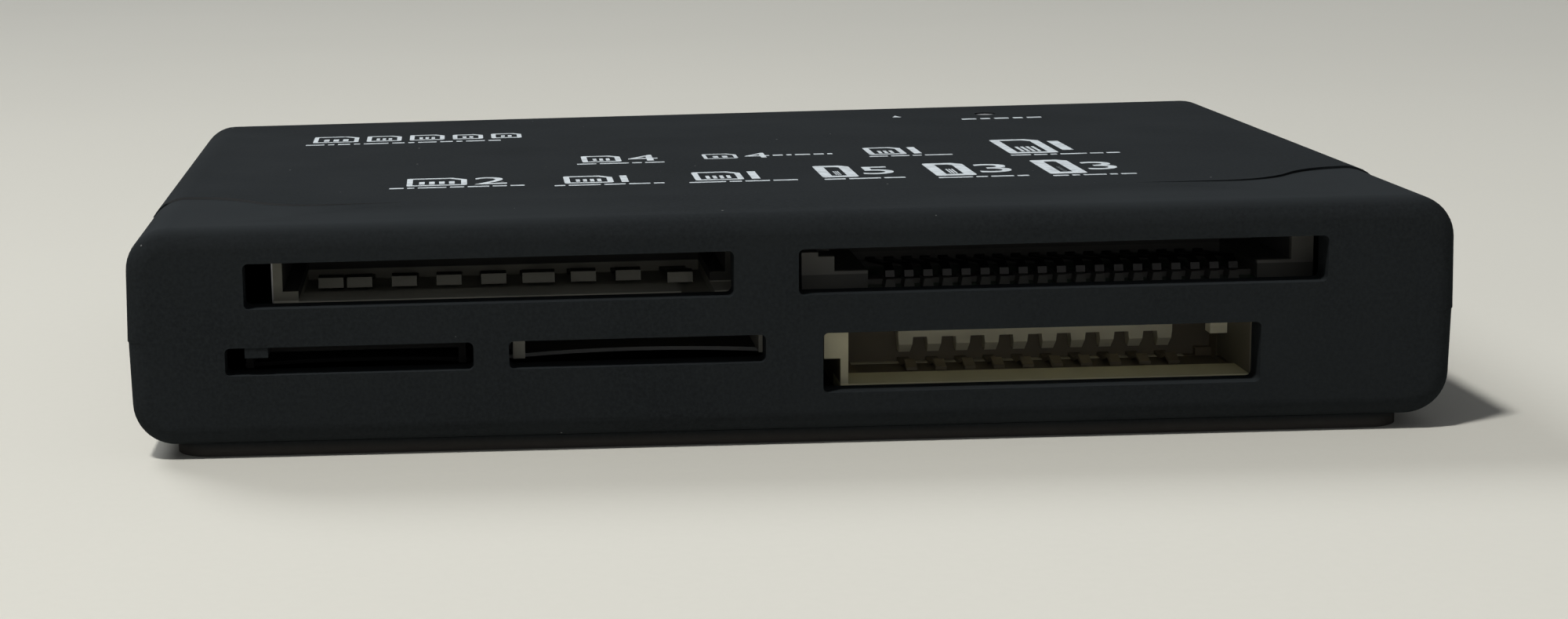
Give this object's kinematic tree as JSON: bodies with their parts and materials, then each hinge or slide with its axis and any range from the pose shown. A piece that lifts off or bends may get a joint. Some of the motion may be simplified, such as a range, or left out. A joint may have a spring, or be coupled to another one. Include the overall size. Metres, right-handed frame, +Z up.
{
  "type": "usb memory card reader",
  "caption": "Low wide desktop reader that takes several kinds of memory card in slots along its front wall, with spring contacts behind them and a mini USB inlet at the back.",
  "frame": {"origin": "centre of the footprint, on the plane of the foot plate's underside", "axes": "+X along the long side to the right as seen from the slots, +Y from the slots to the rear, +Z up; the slots face -Y"},
  "size_m": [0.0708, 0.0484, 0.0127],
  "materials": {
    "case_top": "soft-touch charcoal",
    "case_bottom": "soft-touch charcoal",
    "window": "smoked, polished",
    "board": "green solder mask",
    "led_body": "clear",
    "ivory_guide": "moulded",
    "cream_guide": "moulded",
    "grey_guide": "moulded",
    "white_guide": "moulded",
    "black_guide": "moulded",
    "plated_spring": "pale tin plating",
    "dark_spring": "dull plating",
    "gilt_spring": "gold flash",
    "cover_steel": "stamped sheet",
    "tray_steel": "stamped sheet",
    "black_tray": "blackened sheet",
    "inlet_steel": "nickel plated",
    "tinned_lead": "tinned",
    "crystal_can": "bright",
    "chip_body": "moulded",
    "capacitor_body": "ceramic"
  },
  "bodies": {
    "root": {"top_shell": "case_top", "bottom_shell": "case_bottom", "light_pipe": "window", "circuit_board": "board", "led": "led_body", "sd_housing": "ivory_guide", "sd_contacts": "plated_spring", "sd_cover": "cover_steel", "xd_housing": "grey_guide", "xd_contacts": "dark_spring", "xd_cover": "cover_steel", "ms_housing": "cream_guide", "ms_contacts": "dark_spring", "m2_housing": "white_guide", "m2_contacts": "gilt_spring", "m2_shell": "tray_steel", "tf_housing": "black_guide", "tf_contacts": "gilt_spring", "tf_shell": "black_tray", "usb_shell": "inlet_steel", "usb_insulator": "black_guide", "usb_contacts": "gilt_spring", "controller": "chip_body", "controller_leads": "tinned_lead", "crystal": "crystal_can", "regulator": "chip_body", "capacitors": "capacitor_body", "resistors": "chip_body"}
  },
  "joints": []
}
